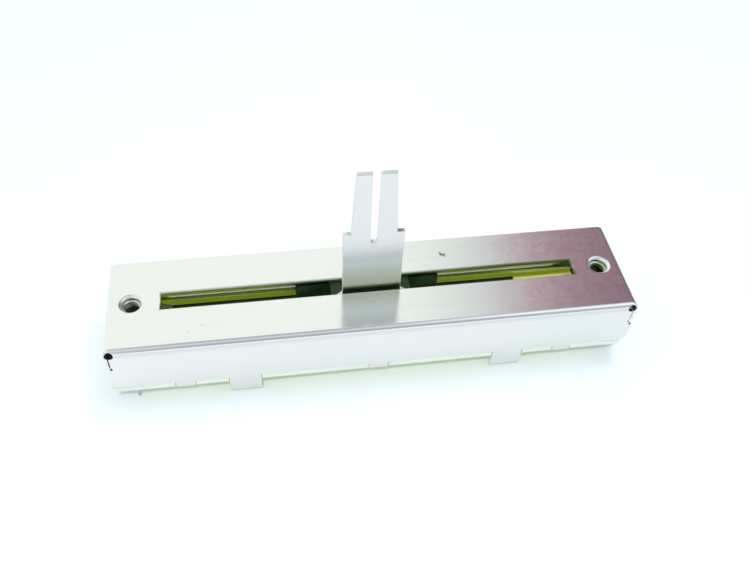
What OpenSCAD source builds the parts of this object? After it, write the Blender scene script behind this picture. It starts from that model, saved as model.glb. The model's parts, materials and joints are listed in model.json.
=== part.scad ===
// Dual-rod slide fader: a folded steel cover over a circuit board, with a forked lever
// on a carriage that slides along two rods. The origin is under the middle of the body,
// on the plane that the terminal pins stand on. +X runs along the travel.

/* [Travel] */
// Distance that the lever slides from end to end
travel = 60; // [50:1:100]
// Room between the lever's edge and the slot's end at full travel
slot_end_gap = 0.45; // [0.3:0.05:2]
// How far the slot and the travel lie to the right of the body's middle
slot_shift = 0.05; // [0:0.05:0.35]
// Where the lever stands, counted from the body's middle
slider_x = -0.4; // [-5:0.1:5]

/* [Cover] */
// Metal left between each end of the slot and the end of the body, with no shift
end_margin = 8.6; // [8.3:0.1:12]
// Width of the body over its long flanges
body_w = 19.4; // [19:0.2:24]
// Height of the long flanges, from the top face to the board
side_h = 9.6; // [9.2:0.1:14]
// Thickness of the cover's steel sheet
sheet_t = 0.6; // [0.5:0.05:0.8]
// Inner radius of the cover's folds
fold_r = 0.3; // [0.1:0.05:0.4]
// Width of the slot in the top face, at the mouth of its rolled-over edges
slot_w = 4.1; // [4.1:0.1:4.4]
// How far the middle of the slot lies behind the middle of the body
slot_back = 0.15; // [0.05:0.05:0.3]
// Height of the end flanges beside their tongue
end_shoulder_h = 4.3; // [3.8:0.1:4.8]
// Width of each shoulder beside the tongue that takes the end flange down to the board
shoulder_w = 2.5; // [2:0.1:2.8]
// Bevel on the lower outer edge of the end flange's shoulders
shoulder_bevel = 0.5; // [0.2:0.1:0.6]
// Width of the slit between the end flange and the long flange
corner_slit = 0.15; // [0.1:0.05:0.25]
// Radius of the relief hole where the folds meet
relief_r = 0.7; // [0.6:0.05:0.8]
// Distance of the relief hole's middle from the end of the body
relief_inset = 0.95; // [0.9:0.05:1.1]
// Distance of the relief hole's lowest point from the top face
relief_depth = 1.65; // [1.6:0.05:2]
// Radius of the punched dot at the foot of the slit
slit_dot_r = 0.3; // [0.2:0.05:0.4]
// Corner cut off the long flanges and the board at the right end
key_corner = 1.1; // [0.6:0.1:1.6]

/* [Screw holes] */
// Distance of each screw hole from the end of the body
hole_inset = 4; // [3.9:0.1:4.6]
// Diameter of the screw thread
thread_d = 3; // [2.5:0.1:3.2]
// Wall of the drawn collar around the thread
collar_wall = 0.65; // [0.5:0.05:0.7]
// How far the collar reaches below the sheet
collar_drop = 1.6; // [1:0.1:1.8]

/* [Tabs] */
// Width of the square mounting tabs
mount_tab_w = 5.3; // [4:0.1:8]
// Distance of the mounting tabs from the body's middle
mount_tab_x = 22.6; // [18:0.2:26]
// How far the mounting tabs reach below the board
mount_tab_drop = 2.7; // [2:0.1:3.4]
// Width of the tabs that are folded under the board
clinch_tab_w = 3.2; // [2.4:0.1:5]
// Distance of the outer folded tabs from the body's middle
clinch_tab_x = 32.4; // [30:0.2:35]
// Radius of the folded tabs' rounded shoulders
clinch_round = 0.6; // [0.2:0.1:1]
// How far the folded tabs reach in under the board
clinch_reach = 2; // [1.4:0.1:2.2]

/* [Board] */
// Thickness of the circuit board
board_t = 1; // [0.8:0.1:1.6]
// Space between the board's ends and the body's ends
board_inset = 0.1; // [0.05:0.05:0.4]
// Clearance between the board's notches and the tabs
notch_gap = 0.1; // [0.05:0.05:0.2]
// Thickness of the printed tracks
track_t = 0.05; // [0.03:0.01:0.08]
// Width of each resistive track
resistive_w = 2.3; // [2.2:0.1:2.8]
// Distance of each resistive track's middle from the body's long side
resistive_inset = 3.8; // [3.7:0.05:3.9]
// Width of each collector track
collector_w = 1.5; // [1.4:0.1:1.8]
// Distance between the middles of a resistive track and its collector track
track_pitch = 2.95; // [2.8:0.05:3.1]
// Track left beyond the contacts at each end of the travel
track_overrun = 4.9; // [1.5:0.1:5.2]
// How far the right end pads of the resistive tracks reach in past the end of the travel
pad_lap = 2.1; // [0:0.1:4]
// How far the long side of those pads lies in from the track's
pad_step = 0.85; // [0:0.05:1]

/* [Terminals] */
// Length of the terminals below the board, which the part stands on
terminal_drop = 3.75; // [3.5:0.05:5]
// Diameter of the terminals
terminal_d = 0.6; // [0.5:0.05:0.8]
// Diameter of the terminals' heads on the board
terminal_head_d = 1.3; // [1.1:0.05:1.4]
// Thickness of the terminals' heads
terminal_head_t = 0.3; // [0.2:0.05:0.4]
// Distance of the terminals from the end of the body
terminal_inset = 3.4; // [3:0.1:3.6]
// Distance of the left terminals from the body's long side
left_terminal_edge = 1.6; // [1.55:0.05:2.1]
// Distance of the right outer terminals from the body's long side
right_terminal_edge = 4.5; // [4.1:0.1:4.9]
// Distance between the two right terminals on each side
right_terminal_pitch = 3; // [2.6:0.1:3.4]
// Radial clearance of the terminals in the board
terminal_gap = 0.05; // [0.02:0.01:0.1]
// Radius of the solder around each terminal, at the board
solder_r = 0.8; // [0.6:0.05:1]
// Height of the solder below the board
solder_h = 0.7; // [0.4:0.1:1]

/* [Rods] */
// Diameter of the two guide rods
rod_d = 2; // [1.6:0.1:2.2]
// Distance of each rod's axis from the body's long side
rod_inset = 4.8; // [4.6:0.05:5]
// Depth of the rods' axes below the top face
rod_drop = 4.6; // [4.5:0.05:5]
// Radial clearance of the rods in the end flanges
rod_seat_gap = 0.01; // [0.005:0.005:0.02]
// How far the rods' ends lie inside the flanges' outer faces
rod_end_inset = 0.05; // [0.02:0.01:0.2]
// Outer diameter of the rubber dampers
damper_d = 4; // [3.4:0.1:4.2]
// Thickness of the rubber dampers
damper_t = 0.5; // [0.2:0.02:0.54]
// Radial clearance of the dampers on the rods
damper_gap = 0.02; // [0.01:0.01:0.05]

/* [Carriage] */
// Length of the carriage
carriage_l = 25; // [20:0.5:25]
// Width and height of the rails that the rods run through
rail_size = 3.8; // [3.4:0.1:3.8]
// Radial running clearance of the rods in the carriage
rod_run_gap = 0.05; // [0.03:0.01:0.08]
// Length of the raised block that holds the lever
block_l = 13.6; // [13.2:0.1:14]
// Clearance between the block and the underside of the cover
block_gap = 0.5; // [0.2:0.05:0.6]
// Thickness of the deck under the rails and the block
deck_t = 1; // [0.8:0.1:1.2]
// Radius of the pegs that hold the wipers
peg_r = 0.5; // [0.3:0.05:0.6]
// Length of the pegs below the deck
peg_l = 0.45; // [0.35:0.05:0.6]
// Distance of the pegs from the wiper's ends
peg_end_inset = 1.2; // [1:0.1:2]
// Distance of the pegs from the rods' lines, towards the centre line
peg_shift = 0.4; // [0:0.1:0.6]
// Radial clearance of the pegs in the wipers
peg_gap = 0.02; // [0.01:0.01:0.05]

/* [Lever] */
// Width of the lever where it passes the slot
lever_w = 9.9; // [8:0.1:10.4]
// Thickness of the lever
lever_t = 0.8; // [0.6:0.1:1.2]
// Distance of the lever's front face in front of the middle of the body
lever_forward = 0.9; // [0.6:0.1:1.2]
// Height of the lever's tips above the top face
lever_h = 25.2; // [16:0.1:30]
// Height of the shoulders above the top face
shoulder_z = 13; // [12:0.1:14]
// Height of the fork's root above the top face
fork_root_z = 10.8; // [6:0.1:11.4]
// Width across the two prongs at the shoulders
prong_base_w = 7.4; // [6.5:0.1:7.8]
// Width across the two prongs at the tips
prong_tip_w = 6.1; // [5.6:0.1:6.4]
// Width of the fork's gap at its root
fork_root_w = 1.1; // [0.8:0.05:1.2]
// Width of the fork's gap at the tips
fork_tip_w = 1.25; // [1:0.05:1.4]
// Depth of the lever's foot below the top face
foot_depth = 5.2; // [4.8:0.1:5.5]
// Length of the foot's ears, measured from the back edge of the lever's side
ear_l = 1.8; // [1.4:0.1:2]
// Angle between the ears and the straight line forward
ear_splay = 50; // [30:1:60]
// Gap between the ears' tops and the underside of the cover
ear_gap = 0.35; // [0.1:0.05:0.4]

/* [Wipers] */
// Thickness of the wipers' spring strip
wiper_t = 0.2; // [0.15:0.01:0.25]
// Length of each wiper's frame
wiper_l = 14; // [13:0.2:16]
// Width of each wiper finger
finger_w = 0.45; // [0.4:0.05:0.5]
// Distance between neighbouring fingers' centre lines
finger_pitch = 0.62; // [0.6:0.01:0.65]
// Length of each finger from its root to its contact
finger_l = 4.2; // [3.6:0.1:4.6]
// Radius of each finger's rounded contact
contact_r = 0.3; // [0.25:0.05:0.4]
// Distance of the contacts from the carriage's middle
contact_x = 0.8; // [0.6:0.1:1.2]
// Room in each window beyond the contacts
window_end_gap = 1; // [0.6:0.1:1.2]
// Room in each window beside the fingers
window_side_gap = 0.18; // [0.1:0.02:0.2]
// Width of the strip between each window and the wiper's long edge beside it
strip_w = 0.35; // [0.3:0.05:0.5]
// Gap between the contacts and the tracks in the drawn state
contact_gap = 0.03; // [0.02:0.01:0.05]

/* [Hidden] */
$fn = 48;

front = -1;
rear = 1;
left = -1;
right = 1;
overlap = 1;
eps = 0.02;
cap_lap = 0.2;

slot_l = travel + lever_w + 2 * slot_end_gap;
body_l = slot_l + 2 * end_margin;
half_l = body_l / 2;
half_w = body_w / 2;
tongue_w = body_w - 2 * shoulder_w;
board_bottom = terminal_drop;
board_top = board_bottom + board_t;
top_z = board_top + side_h;
bend_r = fold_r + sheet_t;
hole_x = half_l - hole_inset;
terminal_x = half_l - terminal_inset;
collar_r = thread_d / 2 + collar_wall;
rod_y = half_w - rod_inset;
rod_z = top_z - rod_drop;
resistive_y = half_w - resistive_inset;
collector_y = resistive_y - track_pitch;
left_terminal_y = half_w - left_terminal_edge;
right_outer_y = half_w - right_terminal_edge;
right_inner_y = right_outer_y - right_terminal_pitch;
deck_bottom = rod_z - rail_size / 2;
block_top = top_z - sheet_t - block_gap;
block_half_w = rod_y - rail_size / 2 + eps;
lever_front_y = -lever_forward;
lever_back_y = lever_front_y + lever_t;
foot_z = top_z - foot_depth;
ear_top = top_z - sheet_t - ear_gap;
peg_x = wiper_l / 2 - peg_end_inset;
peg_y = rod_y - peg_shift;
track_top = board_top + track_t;
track_half_l = travel / 2 + track_overrun;
track_left = slot_shift - track_half_l;
track_right = slot_shift + track_half_l;
carbon_right = slot_shift + travel / 2 - pad_lap;
half_pad = terminal_head_d / 2;
solder_step = 15;
steel = [0.80, 0.81, 0.80];
blade_steel = [0.72, 0.73, 0.72];
epoxy = [0.62, 0.70, 0.25];
carbon = [0.12, 0.12, 0.12];
silver = [0.75, 0.74, 0.70];
tinned = [0.70, 0.71, 0.70];
moulding = [0.07, 0.10, 0.09];
rubber = [0.10, 0.10, 0.10];
bronze = [0.72, 0.53, 0.30];

// A flat shape in Y and Z, drawn out along X about the middle
module along_x(length) {
    rotate([90, 0, 90])
        linear_extrude(length, center = true)
            children();
}

// A flat shape in X and Z, drawn out along Y about the middle
module along_y(length) {
    rotate([90, 0, 0])
        linear_extrude(length, center = true)
            children();
}

// A rectangle that hangs from the line y = 0, with rounded top corners
module hanging_shape(width, depth, radius) {
    translate([-width / 2, -depth])
        square([width, depth - radius]);
    translate([-width / 2 + radius, -depth])
        square([width - 2 * radius, depth]);
    for (side = [-1, 1])
        translate([side * (width / 2 - radius), -radius])
            circle(radius);
}

// Section through a folded channel, its top face on the line y = 0
module channel_section(width) {
    difference() {
        hanging_shape(width, side_h, bend_r);
        translate([0, -sheet_t])
            hanging_shape(width - 2 * sheet_t, side_h, fold_r);
    }
}

// Outline of the long flanges: full length low down, set back beside the end flanges
module long_outline() {
    inner_x = half_l - sheet_t - corner_slit;
    ear_z = -end_shoulder_h - slit_dot_r;
    polygon([
        [-inner_x, overlap], [inner_x, overlap], [inner_x, ear_z], [half_l, ear_z],
        [half_l, -side_h + key_corner], [half_l - key_corner, -side_h],
        [-half_l, -side_h], [-half_l, ear_z], [-inner_x, ear_z]
    ]);
}

// Outline of the end flanges: shoulders that close the corners, and a tongue to the board
module end_outline() {
    corner_y = half_w - bend_r;
    polygon([
        [-corner_y, overlap], [corner_y, overlap],
        [corner_y, -bend_r], [half_w, -bend_r],
        [half_w, -end_shoulder_h], [tongue_w / 2, -end_shoulder_h], [tongue_w / 2, -side_h],
        [-tongue_w / 2, -side_h], [-tongue_w / 2, -end_shoulder_h],
        [-half_w, -end_shoulder_h], [-half_w, -bend_r], [-corner_y, -bend_r]
    ]);
}

module long_flanges() {
    intersection() {
        along_x(body_l)
            channel_section(body_w);
        along_y(body_w + overlap)
            long_outline();
    }
}

module end_flanges() {
    intersection() {
        along_y(body_w)
            channel_section(body_l);
        along_x(body_l + overlap)
            end_outline();
    }
}

// Corner of the top face, where the folds of both flanges meet
module corner_cap(x_side, y_side) {
    cap_l = sheet_t + corner_slit + cap_lap;
    cap_w = bend_r + cap_lap;
    intersection() {
        translate([x_side * (half_l - cap_l / 2), y_side * (half_w - cap_w / 2), -cap_w / 2])
            cube([cap_l, cap_w, cap_w], center = true);
        along_y(body_w)
            channel_section(body_l);
        along_x(body_l)
            hanging_shape(body_w, side_h, bend_r);
    }
}

// Wedge that bevels one shoulder of an end flange
module shoulder_bevel_cut(x_side, y_side) {
    reach = shoulder_w + overlap;
    translate([x_side * half_l, y_side * (tongue_w / 2 + reach / 2), -end_shoulder_h])
        along_y(reach)
            polygon([
                [-x_side * shoulder_bevel, 0], [0, shoulder_bevel],
                [x_side * overlap, shoulder_bevel], [x_side * overlap, -overlap],
                [-x_side * shoulder_bevel, -overlap]
            ]);
}

// Relief hole at a corner of the long flange, and the dot at the foot of the slit
module corner_relief(x_side, y_side) {
    slit_x = half_l - sheet_t - corner_slit / 2;
    depth = bend_r + overlap;
    translate([0, y_side * (half_w - bend_r + depth / 2), 0]) {
        translate([x_side * (half_l - relief_inset), 0, relief_r - relief_depth])
            along_y(depth)
                circle(relief_r);
        translate([x_side * slit_x, 0, -end_shoulder_h])
            along_y(depth)
                circle(slit_dot_r);
    }
}

// Drawn collar below one screw hole
module screw_collar() {
    translate([0, 0, -sheet_t - collar_drop])
        cylinder(h = collar_drop + sheet_t / 2, r = collar_r);
}

// Bore of one screw hole, with the rounded mouth that drawing the collar leaves
module screw_bore() {
    bore_r = thread_d / 2;
    bore_depth = sheet_t + collar_drop;
    translate([0, 0, -bore_depth - overlap])
        cylinder(h = bore_depth + 2 * overlap, r = bore_r);
    rotate_extrude()
        difference() {
            translate([0, -collar_wall])
                square([collar_r, collar_wall + overlap]);
            translate([collar_r, -collar_wall])
                circle(collar_wall);
            translate([collar_r - eps, 0])
                square([overlap, 2 * overlap]);
        }
}

// Square mounting tab on a long flange
module mount_tab(x, y_side) {
    tab_h = board_t + mount_tab_drop;
    translate([x - mount_tab_w / 2, y_side * (half_w - sheet_t / 2) - sheet_t / 2, -side_h - tab_h])
        cube([mount_tab_w, sheet_t, tab_h + sheet_t]);
}

// Tab that is folded in under the board
module clinch_tab(x, y_side) {
    translate([x, y_side * (half_w - sheet_t), -side_h])
        intersection() {
            along_x(clinch_tab_w)
                union() {
                    translate([min(0, y_side * sheet_t), -board_t])
                        square([sheet_t, board_t + sheet_t]);
                    translate([0, -board_t])
                        intersection() {
                            circle(sheet_t);
                            translate([min(0, y_side * sheet_t), -sheet_t])
                                square(sheet_t);
                        }
                    translate([min(0, -y_side * clinch_reach), -board_t - sheet_t])
                        square([clinch_reach, sheet_t]);
                }
            along_y(2 * (clinch_reach + sheet_t) + overlap)
                clinch_tab_front();
        }
}

// Front outline of a folded tab, with its lower corners rounded
module clinch_tab_front() {
    tab_h = board_t + sheet_t;
    translate([0, sheet_t])
        mirror([0, 1])
            translate([0, tab_h + sheet_t])
                hanging_shape(clinch_tab_w, tab_h + sheet_t, clinch_round);
}

module cover() {
    color(steel)
        translate([0, 0, top_z])
            difference() {
                union() {
                    long_flanges();
                    end_flanges();
                    for (side = [left, right])
                        translate([side * hole_x, 0, 0])
                            screw_collar();
                    for (y_side = [front, rear]) {
                        for (x_side = [left, right])
                            mount_tab(x_side * mount_tab_x, y_side);
                        for (x_side = [left, right])
                            corner_cap(x_side, y_side);
                        for (x = [-clinch_tab_x, 0, clinch_tab_x])
                            clinch_tab(x, y_side);
                    }
                }
                translate([slot_shift - slot_l / 2, slot_back - slot_w / 2, -sheet_t - overlap])
                    cube([slot_l, slot_w, sheet_t + 2 * overlap]);
                for (x_side = [left, right]) {
                    translate([x_side * hole_x, 0, 0])
                        screw_bore();
                    for (y_side = [front, rear]) {
                        corner_relief(x_side, y_side);
                        shoulder_bevel_cut(x_side, y_side);
                        translate([x_side * half_l, y_side * rod_y, -rod_drop])
                            along_x_hole(rod_d / 2 + rod_seat_gap, 4 * sheet_t);
                    }
                }
            }
}

// Round hole along X
module along_x_hole(radius, length) {
    rotate([0, 90, 0])
        cylinder(h = length, r = radius, center = true);
}

// Where the six terminals stand
function terminal_places() = [
    [-terminal_x, -left_terminal_y], [-terminal_x, left_terminal_y],
    [terminal_x, -right_outer_y], [terminal_x, -right_inner_y],
    [terminal_x, right_inner_y], [terminal_x, right_outer_y]
];

module board_notch(x, width, y_side) {
    depth = sheet_t + notch_gap + overlap;
    translate([x, y_side * (half_w + overlap - depth / 2)])
        square([width + 2 * notch_gap, depth], center = true);
}

module element_board() {
    board_half_l = half_l - board_inset;
    color(epoxy)
        translate([0, 0, board_bottom])
            linear_extrude(board_t)
                difference() {
                    polygon([
                        [-board_half_l, -half_w], [board_half_l - key_corner, -half_w],
                        [board_half_l, -half_w + key_corner], [board_half_l, half_w - key_corner],
                        [board_half_l - key_corner, half_w], [-board_half_l, half_w]
                    ]);
                    for (y_side = [front, rear]) {
                        for (x_side = [left, right])
                            board_notch(x_side * mount_tab_x, mount_tab_w, y_side);
                        for (x = [-clinch_tab_x, 0, clinch_tab_x])
                            board_notch(x, clinch_tab_w, y_side);
                    }
                    for (place = terminal_places())
                        translate(place)
                            circle(terminal_d / 2 + terminal_gap, $fn = 24);
                }
}

// One printed track, from the left end that all share to its own right end
module track(y, width, end_x) {
    translate([track_left, y - width / 2, board_top])
        cube([end_x - track_left, width, track_t]);
}

module front_resistive_track() {
    color(carbon)
        track(front * resistive_y, resistive_w, carbon_right);
}

module rear_resistive_track() {
    color(carbon)
        track(rear * resistive_y, resistive_w, carbon_right);
}

module front_collector_track() {
    color(silver)
        track(front * collector_y, collector_w, track_right);
}

module rear_collector_track() {
    color(silver)
        track(rear * collector_y, collector_w, track_right);
}

// Flat pad on the board, with a hole for the shank of the terminal that it serves
module holed_pad(x_side, pin_y) {
    translate([0, 0, board_top])
        linear_extrude(track_t)
            difference() {
                children();
                translate([x_side * terminal_x, pin_y])
                    circle(terminal_d / 2 + terminal_gap, $fn = 24);
            }
}

// Outline of a pad that tapers from a track's end to a terminal
module tapered_outline(x_side, start_x, track_y, track_w, pin_y) {
    near_x = x_side * (terminal_x - half_pad);
    end_x = x_side * (terminal_x + half_pad);
    polygon([
        [start_x, track_y - track_w / 2], [start_x, track_y + track_w / 2],
        [near_x, pin_y + half_pad], [end_x, pin_y + half_pad],
        [end_x, pin_y - half_pad], [near_x, pin_y - half_pad]
    ]);
}

// Outline of the broad pad at the right end of a resistive track
module broad_outline(y_side) {
    inner_y = min(right_outer_y - half_pad, resistive_y - resistive_w / 2);
    outer_y = resistive_y + resistive_w / 2 - pad_step;
    translate([carbon_right, min(y_side * inner_y, y_side * outer_y)])
        square([terminal_x + half_pad - carbon_right, outer_y - inner_y]);
}

module track_pads() {
    color(silver)
        for (y_side = [front, rear]) {
            holed_pad(left, y_side * left_terminal_y)
                tapered_outline(left, track_left, y_side * resistive_y, resistive_w,
                    y_side * left_terminal_y);
            holed_pad(right, y_side * right_outer_y)
                broad_outline(y_side);
            holed_pad(right, y_side * right_inner_y)
                tapered_outline(right, track_right, y_side * collector_y, collector_w,
                    y_side * right_inner_y);
        }
}

module guide_rod(y_side) {
    rod_l = body_l - 2 * rod_end_inset;
    chamfer = rod_d / 10;
    color(tinned)
        translate([-rod_l / 2, y_side * rod_y, rod_z])
            rotate([0, 90, 0])
                rotate_extrude()
                    polygon([
                        [0, 0], [rod_d / 2 - chamfer, 0], [rod_d / 2, chamfer],
                        [rod_d / 2, rod_l - chamfer], [rod_d / 2 - chamfer, rod_l], [0, rod_l]
                    ]);
}

module front_guide_rod() {
    guide_rod(front);
}

module rear_guide_rod() {
    guide_rod(rear);
}

// Rubber ring on a rod, against the inside of an end flange
module damper(x_side, y_side) {
    color(rubber)
        translate([x_side * (half_l - sheet_t - damper_t / 2), y_side * rod_y, rod_z])
            difference() {
                along_x_hole(damper_d / 2, damper_t);
                along_x_hole(rod_d / 2 + damper_gap, damper_t + overlap);
            }
}

module left_front_damper() {
    damper(left, front);
}

module left_rear_damper() {
    damper(left, rear);
}

module right_front_damper() {
    damper(right, front);
}

module right_rear_damper() {
    damper(right, rear);
}

// Headed terminal pin: its head lies on the board's pad, and its tip is bevelled
module terminal(place) {
    pin_r = terminal_d / 2;
    tip = terminal_d / 4;
    color(tinned)
        translate(place)
            rotate_extrude($fn = 32)
                polygon([
                    [0, 0], [pin_r - tip, 0], [pin_r, tip], [pin_r, track_top],
                    [terminal_head_d / 2, track_top], [terminal_head_d / 2, track_top + terminal_head_t],
                    [0, track_top + terminal_head_t]
                ]);
}

module left_front_terminal() {
    terminal(terminal_places()[0]);
}

module left_rear_terminal() {
    terminal(terminal_places()[1]);
}

module right_front_outer_terminal() {
    terminal(terminal_places()[2]);
}

module right_front_inner_terminal() {
    terminal(terminal_places()[3]);
}

module right_rear_inner_terminal() {
    terminal(terminal_places()[4]);
}

module right_rear_outer_terminal() {
    terminal(terminal_places()[5]);
}

// Hollow-sided cone of solder round each terminal, under the board
module solder_joints() {
    pin_r = terminal_d / 2;
    spread = solder_r - pin_r;
    color(tinned)
        for (place = terminal_places())
            translate([place[0], place[1], board_bottom - solder_h])
                rotate_extrude($fn = 32)
                    polygon([
                        for (angle = [0 : solder_step : 90])
                            [solder_r - spread * cos(angle), solder_h * sin(angle)],
                        [pin_r, solder_h]
                    ]);
}

// Pegs under the deck that the wipers are staked on
module wiper_pegs() {
    for (x_side = [left, right])
        for (y_side = [front, rear])
            translate([x_side * peg_x, y_side * peg_y, deck_bottom - peg_l])
                cylinder(h = peg_l + deck_t / 2, r = peg_r);
}

module carriage_shape() {
    rail_bottom = rod_z - rail_size / 2;
    difference() {
        union() {
            for (y_side = [front, rear])
                translate([-carriage_l / 2, y_side * rod_y - rail_size / 2, rail_bottom])
                    cube([carriage_l, rail_size, rail_size]);
            translate([-carriage_l / 2, -rod_y, rail_bottom])
                cube([carriage_l, 2 * rod_y, deck_t]);
            translate([-block_l / 2, -block_half_w, rail_bottom])
                cube([block_l, 2 * block_half_w, block_top - rail_bottom]);
            wiper_pegs();
        }
        for (y_side = [front, rear])
            translate([0, y_side * rod_y, rod_z])
                along_x_hole(rod_d / 2 + rod_run_gap, carriage_l + 2 * overlap);
        lever_shape();
    }
}

module carriage() {
    color(moulding)
        translate([slider_x, 0, 0])
            carriage_shape();
}

// Outline of the blade in X and Z, counted from the top face
module blade_outline() {
    polygon([
        [-lever_w / 2, -foot_depth], [lever_w / 2, -foot_depth], [lever_w / 2, shoulder_z],
        [prong_base_w / 2, shoulder_z], [prong_tip_w / 2, lever_h], [fork_tip_w / 2, lever_h],
        [fork_root_w / 2, fork_root_z + fork_root_w / 2],
        [-fork_root_w / 2, fork_root_z + fork_root_w / 2], [-fork_tip_w / 2, lever_h],
        [-prong_tip_w / 2, lever_h], [-prong_base_w / 2, shoulder_z], [-lever_w / 2, shoulder_z]
    ]);
}

// Ear bent forward and outward from the side of the lever's foot
module foot_ear(x_side) {
    translate([x_side * lever_w / 2, lever_back_y, foot_z])
        rotate([0, 0, x_side * ear_splay])
            translate([min(0, -x_side * lever_t), -ear_l, 0])
                cube([lever_t, ear_l, ear_top - foot_z]);
}

module lever_shape() {
    difference() {
        translate([0, (lever_front_y + lever_back_y) / 2, top_z])
            along_y(lever_t)
                blade_outline();
        translate([0, (lever_front_y + lever_back_y) / 2, top_z + fork_root_z + fork_root_w / 2])
            rotate([90, 0, 0])
                cylinder(h = lever_t + overlap, r = fork_root_w / 2, center = true);
    }
    for (x_side = [left, right])
        foot_ear(x_side);
}

module lever() {
    color(blade_steel)
        translate([slider_x, 0, 0])
            lever_shape();
}

// One spring finger in X and Z: a slanted strip from its root to a rounded contact
module finger_section(direction) {
    drop = deck_bottom - wiper_t / 2 - (track_top + contact_gap + contact_r);
    slope = atan2(drop, finger_l);
    rise = wiper_t / 2 / cos(slope);
    polygon([
        [0, -rise], [0, rise],
        [direction * finger_l, -drop + rise], [direction * finger_l, -drop - rise]
    ]);
    translate([direction * finger_l, -drop])
        circle(contact_r, $fn = 24);
}

module fingers(y_side, track_y, count, direction) {
    for (k = [0 : count - 1])
        translate([0, y_side * track_y + (k - (count - 1) / 2) * finger_pitch, 0])
            translate([-direction * (finger_l + contact_x), 0, deck_bottom - wiper_t / 2])
                along_y(finger_w)
                    finger_section(direction);
}

function window_width(count) =
    (count - 1) * finger_pitch + finger_w + 2 * window_side_gap;

// Window in a wiper's frame that its fingers are bent down out of
module finger_window(y_side, track_y, count, direction) {
    window_l = finger_l + contact_r + window_end_gap;
    translate([direction * (window_l / 2 - finger_l - contact_x), y_side * track_y])
        square([window_l, window_width(count)], center = true);
}

// Spring strip with three fingers for the resistive track and two for the collector
module wiper_shape(y_side) {
    inner_y = collector_y - window_width(2) / 2 - strip_w;
    outer_y = resistive_y + window_width(3) / 2 + strip_w;
    translate([0, 0, deck_bottom - wiper_t])
        linear_extrude(wiper_t)
            difference() {
                translate([0, y_side * (inner_y + outer_y) / 2])
                    square([wiper_l, outer_y - inner_y], center = true);
                finger_window(y_side, resistive_y, 3, right);
                finger_window(y_side, collector_y, 2, left);
                for (x_side = [left, right])
                    translate([x_side * peg_x, y_side * peg_y])
                        circle(peg_r + peg_gap, $fn = 24);
            }
    fingers(y_side, resistive_y, 3, right);
    fingers(y_side, collector_y, 2, left);
}

module wiper(y_side) {
    color(bronze)
        translate([slider_x, 0, 0])
            wiper_shape(y_side);
}

module front_wiper() {
    wiper(front);
}

module rear_wiper() {
    wiper(rear);
}

cover();
element_board();
front_resistive_track();
rear_resistive_track();
front_collector_track();
rear_collector_track();
track_pads();
front_guide_rod();
rear_guide_rod();
left_front_damper();
left_rear_damper();
right_front_damper();
right_rear_damper();
left_front_terminal();
left_rear_terminal();
right_front_outer_terminal();
right_front_inner_terminal();
right_rear_inner_terminal();
right_rear_outer_terminal();
solder_joints();
carriage();
lever();
front_wiper();
rear_wiper();
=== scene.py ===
import json
import math

import bmesh
import bpy
import numpy as np
from mathutils import Matrix, Vector


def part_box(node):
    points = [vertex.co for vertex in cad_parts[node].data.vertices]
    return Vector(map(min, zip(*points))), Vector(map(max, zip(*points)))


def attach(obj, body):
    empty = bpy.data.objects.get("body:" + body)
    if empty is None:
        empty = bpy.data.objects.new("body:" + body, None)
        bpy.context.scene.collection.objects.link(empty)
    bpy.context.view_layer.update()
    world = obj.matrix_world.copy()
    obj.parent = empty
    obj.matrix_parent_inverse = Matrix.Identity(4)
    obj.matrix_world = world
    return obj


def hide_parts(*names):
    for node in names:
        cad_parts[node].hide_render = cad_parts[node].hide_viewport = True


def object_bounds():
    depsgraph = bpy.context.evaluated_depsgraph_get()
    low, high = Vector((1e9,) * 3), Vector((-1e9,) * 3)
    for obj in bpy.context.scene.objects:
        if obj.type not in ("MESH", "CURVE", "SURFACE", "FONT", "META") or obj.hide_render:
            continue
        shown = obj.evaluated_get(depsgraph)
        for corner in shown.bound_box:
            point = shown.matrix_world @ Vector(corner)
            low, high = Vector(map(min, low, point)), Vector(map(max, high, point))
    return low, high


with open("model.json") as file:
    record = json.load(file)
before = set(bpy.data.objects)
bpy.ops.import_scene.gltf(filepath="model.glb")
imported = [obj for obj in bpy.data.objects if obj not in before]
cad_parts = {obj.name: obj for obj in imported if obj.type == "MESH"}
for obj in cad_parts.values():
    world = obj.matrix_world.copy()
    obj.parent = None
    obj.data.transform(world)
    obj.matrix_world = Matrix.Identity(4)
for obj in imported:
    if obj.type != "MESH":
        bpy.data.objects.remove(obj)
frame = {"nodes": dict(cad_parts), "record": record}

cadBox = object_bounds()
cadNodes = frame["nodes"]
mm = 0.001
coverLow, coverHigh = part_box("cover")
topZ = coverHigh[2]
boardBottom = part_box("element_board")[0][2]
mountPlace = {mount["name"]: np.array(mount["pos_m"]) for mount in frame["record"]["mounts"]}
slotZone = {"x": 36.2 * mm, "y": 2.3 * mm}  # the middle of the cover's top, where the slot is
print("frame loaded:", len(cadNodes), "nodes")


def addNode(tree, kind, inputs=None, **settings):
    # Makes one shader node. Each input is a plain value or another node's output
    made = tree.nodes.new("ShaderNode" + kind)
    for key, value in settings.items():
        setattr(made, key, value)
    for key, value in (inputs or {}).items():
        if isinstance(value, bpy.types.NodeSocket):
            tree.links.new(value, made.inputs[key])
        else:
            made.inputs[key].default_value = value
    return made


def startGroup(name, inputs, outputs):
    # A shader node group with named sockets, made once and placed in many materials
    group = bpy.data.node_groups.new(name, "ShaderNodeTree")
    kinds = {"vector": "NodeSocketVector", "value": "NodeSocketFloat"}
    for label, kind, value in inputs:
        socket = group.interface.new_socket(name=label, in_out="INPUT", socket_type=kinds[kind])
        if kind == "value":
            socket.default_value = value
    for label in outputs:
        group.interface.new_socket(name=label, in_out="OUTPUT", socket_type=kinds["value"])
    entry = group.nodes.new("NodeGroupInput")
    leave = group.nodes.new("NodeGroupOutput")
    return group, entry.outputs, leave.inputs


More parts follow.
